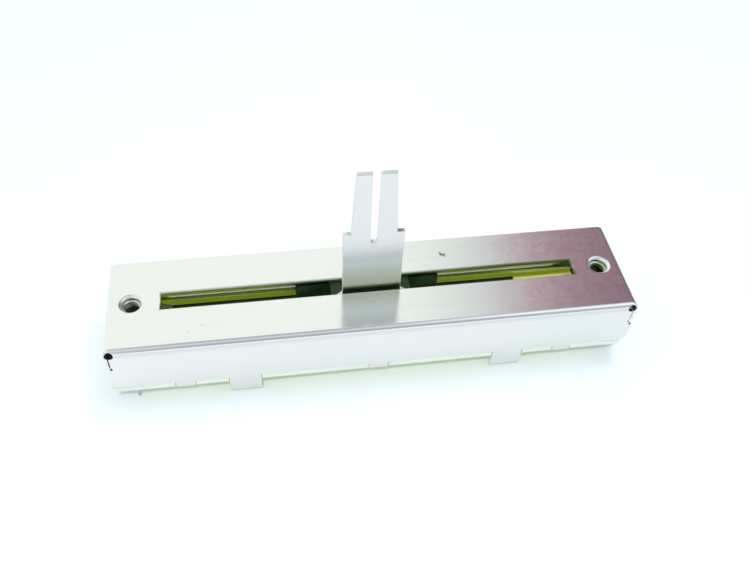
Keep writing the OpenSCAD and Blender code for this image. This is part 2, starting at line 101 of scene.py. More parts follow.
def useGroup(tree, group, inputs):
    # Places a node group in a material's tree
    placed = tree.nodes.new("ShaderNodeGroup")
    placed.node_tree = group
    for key, value in inputs.items():
        if isinstance(value, bpy.types.NodeSocket):
            tree.links.new(value, placed.inputs[key])
        else:
            placed.inputs[key].default_value = value
    return placed.outputs


def mathNode(tree, operation, a, b=0.0, clamp=False):
    return addNode(tree, "Math", {0: a, 1: b}, operation=operation, use_clamp=clamp).outputs[0]


def plus(tree, a, b):
    return mathNode(tree, "ADD", a, b)


def minus(tree, a, b, clamp=False):
    return mathNode(tree, "SUBTRACT", a, b, clamp)


def times(tree, a, b):
    return mathNode(tree, "MULTIPLY", a, b)


def absolute(tree, value):
    return mathNode(tree, "ABSOLUTE", value)


def isLess(tree, value, limit):
    return mathNode(tree, "LESS_THAN", value, limit)


def isMore(tree, value, limit):
    return mathNode(tree, "GREATER_THAN", value, limit)


def between(tree, value, limits):
    return times(tree, isMore(tree, value, limits[0]), isLess(tree, value, limits[1]))


def split(tree, vector):
    return addNode(tree, "SeparateXYZ", {0: vector}).outputs


def lengthOf(tree, vector):
    return addNode(tree, "VectorMath", {0: vector}, operation="LENGTH").outputs[1]


def mixColors(tree, factor, a, b, blend="MIX"):
    made = addNode(tree, "Mix", {0: factor, 6: a, 7: b}, data_type="RGBA", blend_type=blend)
    return made.outputs[2]


def mapRange(tree, value, low, high, toLow=0.0, toHigh=1.0, smooth=False):
    kind = "SMOOTHSTEP" if smooth else "LINEAR"
    return addNode(tree, "MapRange", {0: value, 1: low, 2: high, 3: toLow, 4: toHigh},
                   interpolation_type=kind).outputs[0]


def colorRamp(tree, value, stops):
    ramp = addNode(tree, "ValToRGB", {0: value})
    elements = ramp.color_ramp.elements
    while len(elements) < len(stops):
        elements.new(0.5)
    for element, (place, color) in zip(elements, stops):
        element.position = place
        element.color = (*color, 1.0)
    return ramp.outputs[0]


def rgba(color):
    return (*color, 1.0)


def makeRollingGrain():
    # Streaks that rolling leaves in sheet metal: noise squeezed across the direction X
    group, entry, leave = startGroup("rollingGrain",
        [("Vector", "vector", None), ("Streaks", "value", 2500.0), ("Stretch", "value", 30.0)],
        ["Height", "Tone"])
    along = mathNode(group, "DIVIDE", entry["Streaks"], entry["Stretch"])
    scale = addNode(group, "CombineXYZ", {0: along, 1: entry["Streaks"], 2: entry["Streaks"]})
    placed = addNode(group, "VectorMath", {0: entry["Vector"], 1: scale.outputs[0]},
                     operation="MULTIPLY")
    fine = addNode(group, "TexNoise", {"Vector": placed.outputs[0], "Scale": 1.0,
                                       "Detail": 4.0, "Roughness": 0.6})
    broad = addNode(group, "TexNoise", {"Vector": placed.outputs[0], "Scale": 0.22,
                                        "Detail": 2.0, "Roughness": 0.5})
    group.links.new(fine.outputs[0], leave["Height"])
    both = plus(group, times(group, fine.outputs[0], 0.4), times(group, broad.outputs[0], 0.6))
    group.links.new(mapRange(group, both, 0.3, 0.7), leave["Tone"])
    return group


def makeHandlingMarks():
    # Cloudy film that fingers and handling leave on bright metal
    group, entry, leave = startGroup("handlingMarks",
        [("Vector", "vector", None), ("Scale", "value", 120.0), ("Cover", "value", 0.5)],
        ["Film"])
    cloud = addNode(group, "TexNoise", {"Vector": entry["Vector"], "Scale": entry["Scale"],
                                        "Detail": 5.0, "Roughness": 0.62, "Distortion": 0.8})
    low = minus(group, 0.85, entry["Cover"])
    film = addNode(group, "MapRange", {0: cloud.outputs[0], 1: low, 2: 0.9},
                   interpolation_type="SMOOTHSTEP")
    group.links.new(film.outputs[0], leave["Film"])
    return group


def makeFineDust():
    # Small grains of dust: the cells of a cell pattern whose random colour is high enough
    group, entry, leave = startGroup("fineDust",
        [("Vector", "vector", None), ("Scale", "value", 900.0), ("Share", "value", 0.1),
         ("Size", "value", 0.2)], ["Mask"])
    cells = addNode(group, "TexVoronoi", {"Vector": entry["Vector"], "Scale": entry["Scale"]})
    pick = addNode(group, "SeparateColor", {0: cells.outputs["Color"]})
    chosen = isLess(group, pick.outputs[0], entry["Share"])
    near = isLess(group, cells.outputs["Distance"], times(group, pick.outputs[1], entry["Size"]))
    group.links.new(times(group, chosen, near), leave["Mask"])
    return group


def makeMouldedSkin():
    # The fine orange peel of a moulded or printed surface
    group, entry, leave = startGroup("mouldedSkin",
        [("Vector", "vector", None), ("Scale", "value", 3000.0)], ["Height", "Tone"])
    fine = addNode(group, "TexNoise", {"Vector": entry["Vector"], "Scale": entry["Scale"],
                                       "Detail": 3.0, "Roughness": 0.55})
    slow = addNode(group, "TexNoise", {"Vector": entry["Vector"], "Scale": 260.0, "Detail": 2.0})
    group.links.new(fine.outputs[0], leave["Height"])
    group.links.new(mapRange(group, slow.outputs[0], 0.3, 0.7), leave["Tone"])
    return group


rollingGrain = makeRollingGrain()
handlingMarks = makeHandlingMarks()
fineDust = makeFineDust()
mouldedSkin = makeMouldedSkin()
print("shared effects made")


def startMaterial(name, **plain):
    # A material with one Principled shader, whose plain sockets are set here
    material = bpy.data.materials.new(name)
    material.use_nodes = True
    tree = material.node_tree
    shader = tree.nodes["Principled BSDF"]
    for key, value in plain.items():
        shader.inputs[key.replace("_", " ")].default_value = value
    coords = addNode(tree, "TexCoord").outputs["Object"]
    return material, tree, shader, coords


def setBump(tree, shader, height, depth):
    bump = addNode(tree, "Bump", {"Height": height, "Distance": depth, "Strength": 1.0})
    tree.links.new(bump.outputs[0], shader.inputs["Normal"])


def readSurface(tree, coords, grain):
    # Where a point of a sheet lies: its place, its distances from the cover's top and end, its
    # normal, and the rolling grain there
    x, y, z = split(tree, coords)
    alongX, alongY = absolute(tree, x), absolute(tree, y)
    return {"coords": coords, "x": x, "y": y, "alongX": alongX, "alongY": alongY,
            "down": minus(tree, topZ, z), "inward": minus(tree, coverHigh[0], alongX),
            "normal": split(tree, addNode(tree, "TexCoord").outputs["Normal"]), "grain": grain}


# dirt on the cover's top: x, y, half length, half width, turn in degrees and strength
coverSpots = [(13.0 * mm, 5.4 * mm, 0.70 * mm, 0.42 * mm, -35.0, 0.9),
              (-26.5 * mm, 2.4 * mm, 0.30 * mm, 0.26 * mm, 0.0, 0.25),
              (-28.5 * mm, -5.6 * mm, 0.30 * mm, 0.22 * mm, 0.0, 0.22),
              (-30.6 * mm, -7.0 * mm, 0.25 * mm, 0.22 * mm, 0.0, 0.18)]


def dirtSpots(tree, at, look, layer):
    # Each spot is an ellipse with a ragged rim, dull and without the metal's shine
    wobble = addNode(tree, "TexNoise", {"Vector": at["coords"], "Scale": look["raggedScale"],
                                        "Detail": 3.0})
    ragged = mapRange(tree, wobble.outputs[0], 0.3, 0.7, -look["ragged"], look["ragged"])
    for x, y, halfLong, halfShort, turn, strength in coverSpots:
        offset = addNode(tree, "VectorMath", {0: at["coords"], 1: (x, y, topZ)}, operation="SUBTRACT")
        turned = addNode(tree, "VectorRotate", {0: offset.outputs[0], "Angle": math.radians(-turn)},
                         rotation_type="Z_AXIS")
        sized = addNode(tree, "VectorMath", {0: turned.outputs[0],
                        1: (1 / halfLong, 1 / halfShort, 1 / halfShort)}, operation="MULTIPLY")
        away = plus(tree, lengthOf(tree, sized.outputs[0]), ragged)
        mask = mapRange(tree, away, look["spotFade"], 1.0, strength, 0.0, smooth=True)
        layer["color"] = mixColors(tree, mask, layer["color"], rgba(look["dirt"]))
        layer["rough"] = plus(tree, layer["rough"], times(tree, mask, look["dirtRough"]))
        layer["metal"] = times(tree, layer["metal"], minus(tree, 1.0, mask))


def foldedSides(tree, at, look, layer):
    # Painted shade: the front and back are darkened, as if they mirrored a dimmer floor, and shaded just
    # under the fold
    side = mapRange(tree, absolute(tree, at["normal"][1]), *look["turnedAway"])
    color = mixColors(tree, side, layer["color"], rgba(look["sideTint"]), blend="MULTIPLY")
    under = times(tree, side, mapRange(tree, at["down"], *look["shadeReach"]))
    layer["color"] = mixColors(tree, times(tree, under, look["shadeShare"]), color,
                               rgba(look["shade"]))


def endPaintedReflection(tree, at, look, layer):
    # A painted reflection: a mottled mauve tint on the top, from nothing near the middle to all of it at
    # the right end
    cloud = addNode(tree, "TexNoise", {"Vector": at["coords"], "Scale": look["stainScale"],
                                       "Detail": 5.0, "Roughness": 0.65, "Distortion": 0.6})
    stain = times(tree, mapRange(tree, cloud.outputs[0], *look["stainCloud"], smooth=True),
                  mapRange(tree, at["x"], *look["stainFrom"], smooth=True))
    stain = times(tree, stain, isMore(tree, at["normal"][2], 0.95))
    layer["color"] = mixColors(tree, times(tree, stain, look["stainShare"]), layer["color"],
                               rgba(look["stain"]))


def slotRim(tree, at, look, layer):
    # The punched slot's walls: rougher, with painted light at the left fading to painted shade at the
    # right, for what they mirror, and paler at the two ends
    rim = times(tree, isLess(tree, at["alongY"], slotZone["y"]),
                isLess(tree, at["alongX"], slotZone["x"]))
    rim = times(tree, rim, mapRange(tree, at["normal"][2], *look["rimTilt"], 1.0, 0.0))
    endFace = mapRange(tree, absolute(tree, at["normal"][0]), *look["rimEndTilt"])
    rim = minus(tree, rim, times(tree, endFace, look["rimEnds"]), clamp=True)
    rimLightAndShade = mixColors(tree, mapRange(tree, at["x"], *look["rimTurn"]), rgba(look["rimLeft"]),
                         rgba(look["rimRight"]))
    layer["color"] = mixColors(tree, rim, layer["color"], rimLightAndShade)
    layer["rough"] = plus(tree, layer["rough"], times(tree, rim, look["rimRough"]))


def cornerReliefShade(tree, at, look, layer):
    # Painted shade in the round reliefs at the corners and in the slits under them, dark and without the
    # metal's shine, weaker in the slits at the right, but not on the outer faces round them
    center = addNode(tree, "CombineXYZ", {0: minus(tree, at["inward"], look["holeInset"]),
                                          2: minus(tree, at["down"], look["holeInset"])})
    inHole = isLess(tree, lengthOf(tree, center.outputs[0]), look["holeRadius"])
    inSlit = times(tree, between(tree, at["inward"], look["slitAcross"]),
                   between(tree, at["down"], look["slitDown"]))
    inSlit = times(tree, inSlit, mapRange(tree, at["x"], 0.0, 1 * mm, 1.0, look["slitRight"]))
    depth = minus(tree, coverHigh[1], at["alongY"])
    grime = times(tree, mathNode(tree, "MAXIMUM", inHole, inSlit),
                  isLess(tree, depth, look["grimeDepth"]))
    outerFront = times(tree, isLess(tree, depth, look["skin"]),
                       isMore(tree, absolute(tree, at["normal"][1]), 0.9))
    outerEnd = isLess(tree, at["inward"], look["skin"])
    grime = times(tree, grime, minus(tree, 1.0, mathNode(tree, "MAXIMUM", outerFront, outerEnd)))
    layer["color"] = mixColors(tree, grime, layer["color"], rgba(look["grime"]))
    layer["rough"] = plus(tree, layer["rough"], times(tree, grime, look["dirtRough"]))
    layer["metal"] = times(tree, layer["metal"], minus(tree, 1.0, grime))


def screwMouths(tree, at, look, layer):
    # The drawn collars and threads of the screw holes: rougher, with painted shade that deepens further
    # down, darker and greener in the right hole
    screwX = mountPlace["screw_hole_right"][0]
    away = addNode(tree, "CombineXYZ", {0: minus(tree, at["alongX"], screwX), 1: at["y"]})
    mouth = times(tree, isLess(tree, lengthOf(tree, away.outputs[0]), look["mouthReach"]),
                  mapRange(tree, at["normal"][2], *look["turnedAway"], 1.0, 0.0))
    deep = times(tree, mouth, mapRange(tree, at["down"], *look["boreDown"]))
    boreShade = mixColors(tree, isMore(tree, at["x"], 0.0), rgba(look["boreLeft"]),
                          rgba(look["boreRight"]))
    layer["color"] = mixColors(tree, deep, layer["color"], boreShade)
    layer["rough"] = plus(tree, layer["rough"], times(tree, mouth, look["boreRough"]))


def heightReflection(tree, at, look, layer):
    # A painted reflection on the lever: a tone by its height over the slot, in centimetres
    height = mathNode(tree, "DIVIDE", minus(tree, 0.0, at["down"]), 10 * mm)
    layer["color"] = mixColors(tree, 1.0, layer["color"], colorRamp(tree, height, look["heightTints"]),
                               blend="MULTIPLY")


def cutEdges(tree, at, look, layer):
    # The sheared edges of the lever, whose normals leave the sheet's own direction Y
    facing = absolute(tree, at["normal"][1])
    tear = mapRange(tree, at["grain"]["Height"], 0.35, 0.65, look["cutLeast"], 1.0)
    cut = times(tree, mapRange(tree, facing, *look["cutTilt"], 1.0, 0.0), tear)
    layer["color"] = mixColors(tree, cut, layer["color"], rgba(look["cutColor"]))
    layer["rough"] = plus(tree, layer["rough"], times(tree, cut, look["cutRough"]))


def sheetMetal(name, look, details=()):
    # Plated or bare metal: rolling grain and a film from handling, then its own details in turn
    material, tree, shader, coords = startMaterial(name, Metallic=1.0)
    turned = addNode(tree, "Mapping", {"Vector": coords, "Rotation": look["grainTurn"]}).outputs[0]
    grain = useGroup(tree, rollingGrain, {"Vector": turned, "Streaks": look["streaks"],
                                          "Stretch": look["stretch"]})
    film = useGroup(tree, handlingMarks, {"Vector": coords, "Scale": look["filmScale"],
                                          "Cover": look["filmCover"]})["Film"]
    color = mixColors(tree, times(tree, grain["Tone"], look["toneShare"]), rgba(look["color"]),
                      rgba(look["darker"]))
    color = mixColors(tree, times(tree, film, look["filmTint"]), color, rgba(look["filmColor"]))
    rough = plus(tree, mapRange(tree, grain["Tone"], 0, 1, look["smooth"], look["rough"]),
                 times(tree, film, look["filmRough"]))
    layer = {"color": color, "rough": rough, "metal": 1.0}
    if details:
        at = readSurface(tree, coords, grain)
        for detail in details:
            detail(tree, at, look, layer)
    tree.links.new(layer["color"], shader.inputs["Base Color"])
    tree.links.new(layer["rough"], shader.inputs["Roughness"])
    if isinstance(layer["metal"], bpy.types.NodeSocket):
        tree.links.new(layer["metal"], shader.inputs["Metallic"])
    setBump(tree, shader, grain["Height"], look["grainDepth"])
    return material


grainAlongX = (0.0, 0.0, 0.0)
grainAlongZ = (0.0, math.radians(90), 0.0)
steelLook = {"color": (0.905, 0.915, 0.90), "darker": (0.84, 0.86, 0.85), "toneShare": 0.22,
             "streaks": 3600.0, "stretch": 26.0, "grainDepth": 1.1e-6, "grainTurn": grainAlongX,
             "smooth": 0.13, "rough": 0.19, "filmScale": 160.0, "filmCover": 0.34,
             "filmTint": 0.20, "filmRough": 0.07, "filmColor": (0.82, 0.80, 0.78)}
coverLook = dict(steelLook, turnedAway=(0.90, 0.995),
                 dirt=(0.075, 0.060, 0.045), dirtRough=0.5, ragged=0.5, raggedScale=1800.0,
                 spotFade=0.55,
                 # painted shade on the front and back, and under the fold
                 sideTint=(0.90, 0.865, 0.84), shade=(0.3, 0.3, 0.31), shadeShare=0.22,
                 shadeReach=(1.9 * mm, 0.85 * mm),
                 # painted reflection: the mauve tint towards the right end of the top
                 stain=(0.84, 0.42, 0.56), stainScale=520.0, stainShare=0.25,
                 stainFrom=(18 * mm, 30 * mm), stainCloud=(0.40, 0.62),
                 # painted light and shade on the slot's rim walls
                 rimLeft=(0.80, 0.85, 0.72), rimRight=(0.30, 0.30, 0.20), rimRough=0.30,
                 rimTurn=(4 * mm, 24 * mm), rimTilt=(0.97, 0.999), rimEnds=0.6,
                 rimEndTilt=(0.1, 0.3),
                 # painted shade in the corner reliefs and slits
                 grime=(0.012, 0.018, 0.022), grimeDepth=0.92 * mm, skin=0.02 * mm,
                 holeInset=0.95 * mm, holeRadius=0.72 * mm,
                 slitAcross=(0.40 * mm, 0.95 * mm), slitDown=(0.9 * mm, 4.95 * mm), slitRight=0.35,
                 # painted shade down the screw bores
                 boreLeft=(0.34, 0.40, 0.32), boreRight=(0.10, 0.17, 0.07), boreRough=0.14,
                 boreDown=(0.5 * mm, 1.5 * mm), mouthReach=2.2 * mm)
leverLook = dict(steelLook, color=(0.95, 0.98, 0.95), darker=(0.895, 0.92, 0.895), smooth=0.20,
                 rough=0.27, grainTurn=grainAlongZ, filmCover=0.30, grainDepth=0.7e-6,
                 toneShare=0.12, cutColor=(0.93, 0.94, 0.95), cutRough=0.40,
                 cutTilt=(0.35, 0.75), cutLeast=0.4,
                 # painted reflection tones up the lever, by height
                 heightTints=[(0.20, (0.73, 0.76, 0.60)), (0.40, (0.84, 0.87, 0.74)),
                              (0.61, (0.95, 0.97, 0.96)), (0.80, (0.81, 0.83, 0.79)),
                              (0.95, (0.80, 0.76, 0.753))])
# The rods' greenish yellow is a painted reflection of the green board under them
rodLook = dict(steelLook, color=(0.72, 0.77, 0.60), darker=(0.60, 0.65, 0.50), smooth=0.10,
               rough=0.20, streaks=6000.0, stretch=6.0, grainDepth=0.8e-6)
pinLook = dict(steelLook, color=(0.82, 0.82, 0.80), darker=(0.66, 0.66, 0.64), smooth=0.25,
               rough=0.38, streaks=5000.0, stretch=4.0, grainTurn=grainAlongZ)
solderLook = dict(steelLook, color=(0.80, 0.80, 0.80), darker=(0.62, 0.62, 0.62), smooth=0.18,
                  rough=0.36, streaks=1500.0, stretch=1.0, toneShare=0.7)
bronzeLook = dict(steelLook, color=(0.80, 0.60, 0.34), darker=(0.66, 0.46, 0.24), smooth=0.22,
                  rough=0.34)


def paintedLayer(name, look):
    # Printed ink, rubber or moulded plastic: a skin with slow changes of tone, and fine dust
    material, tree, shader, coords = startMaterial(name, Metallic=look["metallic"],
                                                   Specular_IOR_Level=look["shine"])
    skin = useGroup(tree, mouldedSkin, {"Vector": coords, "Scale": look["skinScale"]})
    dust = useGroup(tree, fineDust, {"Vector": coords, "Scale": look["dustScale"],
                                     "Share": look["dustShare"], "Size": look["dustSize"]})["Mask"]
    color = mixColors(tree, skin["Tone"], rgba(look["color"]), rgba(look["second"]))
    color = mixColors(tree, times(tree, dust, look["dustTint"]), color, rgba(look["dust"]))
    tree.links.new(color, shader.inputs["Base Color"])
    tree.links.new(mapRange(tree, skin["Tone"], 0, 1, look["smooth"], look["rough"]),
                   shader.inputs["Roughness"])
    setBump(tree, shader, skin["Height"], look["depth"])
    return material


# The carriage is black plastic with a green tint painted in, a painted reflection of the green board
carriageLook = {"color": (0.017, 0.036, 0.016), "second": (0.027, 0.050, 0.024), "metallic": 0.0,
                "smooth": 0.40, "rough": 0.52, "shine": 0.08, "skinScale": 3500.0, "depth": 3e-6,
                "dust": (0.25, 0.25, 0.22), "dustScale": 700.0, "dustShare": 0.04,
                "dustSize": 0.25, "dustTint": 0.6}
rubberLook = dict(carriageLook, color=(0.02, 0.02, 0.02), second=(0.035, 0.034, 0.033),
                  smooth=0.6, rough=0.8, depth=8e-6)
carbonLook = dict(carriageLook, color=(0.040, 0.062, 0.026), second=(0.052, 0.078, 0.034),
                  shine=0.3, smooth=0.45, rough=0.6, skinScale=9000.0)
silverLook = dict(carriageLook, color=(0.86, 0.85, 0.78), second=(0.74, 0.73, 0.66),
                  metallic=0.35, smooth=0.34, rough=0.46, skinScale=9000.0)

boardLook = {"resin": (0.60, 0.78, 0.035), "cloth": (0.70, 0.88, 0.06), "cloud": (0.52, 0.68, 0.03),
             "cloudScale": 220.0, "cloudShare": 0.35,
             "edge": (0.70, 0.78, 0.66), "edgeFibre": (0.80, 0.86, 0.78), "edgeRough": 0.25,
             "edgeStreaks": 5000.0, "edgeStretch": 20.0,
             "resist": (0.030, 0.062, 0.022), "resistFrom": (39.2 * mm, 39.6 * mm),
             "weave": 2.2 / mm, "smooth": 0.28, "rough": 0.42, "depth": 3e-6, "glow": 0.15,
             "sunlit": (2.1, 2.2, 0.75), "sunlitX": (27.9 * mm, 28.1 * mm),
             "sunlitY": (7.1 * mm, 6.6 * mm)}


def boardMaterial(look):
    # Glass-filled epoxy: crossing waves for the weave in the resin, paler where it is cut, with
    # dark resist at both ends. The top has painted light: a faint glow for light that comes through
    # it, and a brighter painted patch where light from the front reaches it through the slot
    material, tree, shader, coords = startMaterial("epoxy_board", IOR=1.5)
    x, y = split(tree, coords)[:2]
    turns = 2 * math.pi * look["weave"]
    warp, weft = (mathNode(tree, "SINE", times(tree, value, turns)) for value in (x, y))
    weave = mapRange(tree, times(tree, warp, weft), -1, 1)
    cloud = addNode(tree, "TexNoise", {"Vector": coords, "Scale": look["cloudScale"],
                                       "Detail": 4.0}).outputs[0]
    color = mixColors(tree, weave, rgba(look["resin"]), rgba(look["cloth"]))
    color = mixColors(tree, mapRange(tree, cloud, 0.35, 0.75, 0, look["cloudShare"]), color,
                      rgba(look["cloud"]))
    resist = mapRange(tree, absolute(tree, x), *look["resistFrom"])
    color = mixColors(tree, resist, color, rgba(look["resist"]))
    upward = split(tree, addNode(tree, "NewGeometry").outputs["Normal"])[2]
    cut = mapRange(tree, absolute(tree, upward), 0.3, 0.7, 1.0, 0.0)
    streaks = useGroup(tree, rollingGrain, {"Vector": coords, "Streaks": look["edgeStreaks"],
                                            "Stretch": look["edgeStretch"]})
    edge = mixColors(tree, streaks["Tone"], rgba(look["edge"]), rgba(look["edgeFibre"]))
    color = mixColors(tree, cut, color, edge)
    tree.links.new(color, shader.inputs["Base Color"])
    rough = plus(tree, mapRange(tree, cloud, 0.3, 0.7, look["smooth"], look["rough"]),
                 times(tree, cut, look["edgeRough"]))
    tree.links.new(rough, shader.inputs["Roughness"])
    sunlit = times(tree, mapRange(tree, x, *look["sunlitX"]), mapRange(tree, y, *look["sunlitY"]))
    glow = mixColors(tree, sunlit, color, rgba(look["sunlit"]))
    lit = times(tree, isMore(tree, upward, 0.5), minus(tree, 1.0, resist))
    glow = mixColors(tree, lit, rgba((0.0, 0.0, 0.0)), glow)
    tree.links.new(glow, shader.inputs["Emission Color"])
    shader.inputs["Emission Strength"].default_value = look["glow"]
    setBump(tree, shader, plus(tree, weave, streaks["Height"]), look["depth"])
    return material


coverDetails = (dirtSpots, foldedSides, endPaintedReflection, slotRim, cornerReliefShade, screwMouths)
materials = {
    "plated_steel": sheetMetal("plated_steel", coverLook, coverDetails),
    "blade_steel": sheetMetal("blade_steel", leverLook, (heightReflection, cutEdges)),
    "rod_steel": sheetMetal("rod_steel", rodLook),
    "tinned_pin": sheetMetal("tinned_pin", pinLook),
    "solder": sheetMetal("solder", solderLook),
    "spring_bronze": sheetMetal("spring_bronze", bronzeLook),
    "epoxy_board": boardMaterial(boardLook),
    "carbon_ink": paintedLayer("carbon_ink", carbonLook),
    "silver_ink": paintedLayer("silver_ink", silverLook),
    "dark_moulding": paintedLayer("dark_moulding", carriageLook),
    "damper_rubber": paintedLayer("damper_rubber", rubberLook),
}
slotOfNode = {row["node"]: row["material_slot"] for row in frame["record"]["subparts"]}
for nodeName, cadObject in cadNodes.items():
    cadObject.data.materials.clear()
    cadObject.data.materials.append(materials[slotOfNode[nodeName]])
print("materials made:", len(materials))

finishValues = {"smoothBend": 35.0, "flatBend": 0.7, "sharpBend": 40.0, "room": 1.7}


def finishPiece(mesh, name, slotName, body, replaced=()):
    # Makes the object of a mesh: outward normals, smooth under the bend angle, material and body
    solid = bmesh.new()
    solid.from_mesh(mesh)
    bmesh.ops.recalc_face_normals(solid, faces=solid.faces)
    solid.to_mesh(mesh)
    solid.free()
    mesh.shade_smooth()
    mesh.set_sharp_from_angle(angle=math.radians(finishValues["smoothBend"]))
    mesh.materials.clear()
    mesh.materials.append(materials[slotName])
    piece = bpy.data.objects.new(name, mesh)
    bpy.context.scene.collection.objects.link(piece)
    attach(piece, body)
    if replaced:
        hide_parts(*replaced)
    return piece


def movePoints(solid, rule):
    # The rule takes the places of all points as one array (points, 3) and gives the new ones
    places = rule(np.array([vertex.co for vertex in solid.verts]))
    for vertex, place in zip(solid.verts, places):
        vertex.co = place


def isRoomy(edge, width):
    # True for a sharp outer edge whose neighbours leave room for a roll of this width
    if len(edge.link_faces) != 2:
        return False
    if edge.calc_face_angle_signed() < math.radians(finishValues["sharpBend"]):
        return False
    near = [other.calc_length() for vertex in edge.verts for other in vertex.link_edges]
    return min(near) > finishValues["room"] * width


def anyEdge(edge):
    return True


def softCopy(nodeName, name, body, rounds, shape=None, finish=None):
    # The node's mesh with its doubles merged and its flat parts joined. Each round is
    # (width, steps, test of an edge): sharp edges that pass the test are rolled over
    solid = bmesh.new()
    solid.from_mesh(cadNodes[nodeName].data)
    bmesh.ops.remove_doubles(solid, verts=solid.verts, dist=1e-6)
    if shape:
        movePoints(solid, shape)
    bmesh.ops.dissolve_limit(solid, angle_limit=math.radians(finishValues["flatBend"]),
                             verts=solid.verts, edges=solid.edges)
    for width, steps, test in rounds:
        chosen = [edge for edge in solid.edges if isRoomy(edge, width) and test(edge)]
        bmesh.ops.bevel(solid, geom=chosen, offset=width, offset_type="OFFSET", segments=steps,
                        profile=0.5, affect="EDGES", clamp_overlap=False, loop_slide=True)
    if finish:
        finish(solid)
    mesh = bpy.data.meshes.new(name)
    solid.to_mesh(mesh)
    solid.free()
    piece = finishPiece(mesh, name, slotOfNode[nodeName], body, [nodeName])
    weighted = piece.modifiers.new("weighted", "WEIGHTED_NORMAL")
    weighted.keep_sharp = True
    return piece


def ringStack(name, stacks, slotName, body, replaced=()):
    # Each stack is an array (rows, points, 3). Rows are joined by quads, and the end rows closed
    places, faces, start = [], [], 0
    for rings in stacks:
        rows, points = rings.shape[:2]
        index = start + np.arange(rows * points).reshape(rows, points)
        after = np.roll(index, -1, axis=1)
        quads = np.stack([index[:-1], after[:-1], after[1:], index[1:]], axis=-1).reshape(-1, 4)
        faces += quads.tolist() + [index[0][::-1].tolist(), index[-1].tolist()]
        places.append(rings.reshape(-1, 3))
        start += rows * points
    mesh = bpy.data.meshes.new(name)
    mesh.from_pydata(np.concatenate(places).tolist(), [], faces)
    return finishPiece(mesh, name, slotName, body, replaced)


def aroundAxis(center, radius, angle, z):
    return np.stack([center[0] + radius * np.cos(angle), center[1] + radius * np.sin(angle), z], -1)


threadValues = {"bore": 1.5 * mm, "inner": 1.23 * mm, "pitch": 0.5 * mm, "sunk": 0.06 * mm,
                "top": 0.70 * mm, "turns": 2.9, "root": 0.23 * mm, "crest": 0.06 * mm, "fade": 0.3,
                "rowsPerTurn": 64}


def threadRidge(center, look):
    # Ridge of a right-hand screw thread, rows t along the helix and points s round the ridge:
    # angle = 2 pi t, z = top - pitch (turns - t), radius = bore + sunk - fade(t) depth(s)
    t = np.linspace(0, look["turns"], int(look["rowsPerTurn"] * look["turns"]))[:, None]
    fade = np.clip(np.minimum(t, look["turns"] - t) / look["fade"], 0.05, 1.0)
    root, crest = look["root"], look["crest"]
    outer, depth = look["bore"] + look["sunk"], look["bore"] - look["inner"] + look["sunk"]
    acrossZ = np.array([-root, -crest, crest, root])[None, :] * fade
    radius = outer - np.array([0.0, depth, depth, 0.0])[None, :] * fade
    z = topZ - look["top"] - look["pitch"] * (look["turns"] - t) + acrossZ
    return aroundAxis(center, radius, 2 * math.pi * t + 0 * acrossZ, z)


ringStack("screwThreads", [threadRidge(mountPlace[name], threadValues)
                           for name in ("screw_hole_left", "screw_hole_right")],
          "plated_steel", "case")

solderValues = {"pin": 0.31 * mm, "spread": 0.52 * mm, "height": 0.72 * mm, "uneven": 0.12,
                "wobble": 0.10, "rows": 12, "points": 40}
pinNames = [name for name in cadNodes if name.endswith("terminal")]
random = np.random.default_rng(7)


def solderFillet(center, look, draw):
    # Hollow cone round a pin, rows a from the board (0) to the tip (90 degrees):
    # radius = pin + spread (1 - sin a) wave(angle), z = board - height (1 - cos a)
    a = np.linspace(0, math.pi / 2, look["rows"])[::-1, None]
    angle = np.linspace(0, 2 * math.pi, look["points"], endpoint=False)[None, :]
    wave = 1 + look["wobble"] * (np.sin(angle + draw[0]) + 0.6 * np.sin(2 * angle + draw[1]))
    radius = look["pin"] + look["spread"] * (1 - np.sin(a)) * wave
    height = look["height"] * (1 + look["uneven"] * draw[2])
    return aroundAxis(center, radius, angle + 0 * a, boardBottom - height * (1 - np.cos(a)) + 0 * angle)


pinCenters = [np.mean(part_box(name), axis=0) for name in pinNames]
ringStack("solderFillets", [solderFillet(center, solderValues, random.uniform(-1, 1, 3) * (3, 3, 1))
                            for center in pinCenters], "solder", "case", ["solder_joints"])

coverShape = {"lipFront": 0.32 * mm, "lipRear": 0.38 * mm, "lipEnds": 0.12 * mm,
              "lipDepth": 0.9 * mm, "roll": 0.24 * mm, "rollSteps": 5, "edge": 0.05 * mm,
              "edgeSteps": 2, "shortest": 0.4 * mm, "slotMargin": 0.3 * mm, "cornerZone": 2.2 * mm,
              "corner": 1.0 * mm, "cornerDepth": 0.9 * mm, "cornerBlend": 0.45 * mm,
              "cornerCuts": (22.5, 45.0, 67.5)}
cornerX, cornerY = (high - coverShape["corner"] for high in coverHigh[:2])


def narrowSlot(places):
    # The rolled-over edges narrow the slot, and its rim is rounded later: inside the slot's zone
    # y + front at the front wall, y - rear at the rear wall, and x - ends sign(x)
    x, y, z = places.T
    inside = (abs(x) < slotZone["x"]) & (abs(y) < slotZone["y"])
    inside &= z > topZ - coverShape["lipDepth"]
    lips = np.where(y < 0, coverShape["lipFront"], -coverShape["lipRear"])
    return places + inside[:, None] * np.stack([-np.copysign(coverShape["lipEnds"], x), lips,
                                                0 * z], -1)


def middleOf(edge):
    return (edge.verts[0].co + edge.verts[1].co) / 2


def isSlotRim(edge):
    place = middleOf(edge)
    isInside = abs(place.x) < slotZone["x"] and abs(place.y) < slotZone["y"]
    return isInside and abs(place.z - topZ) < 0.01 * mm


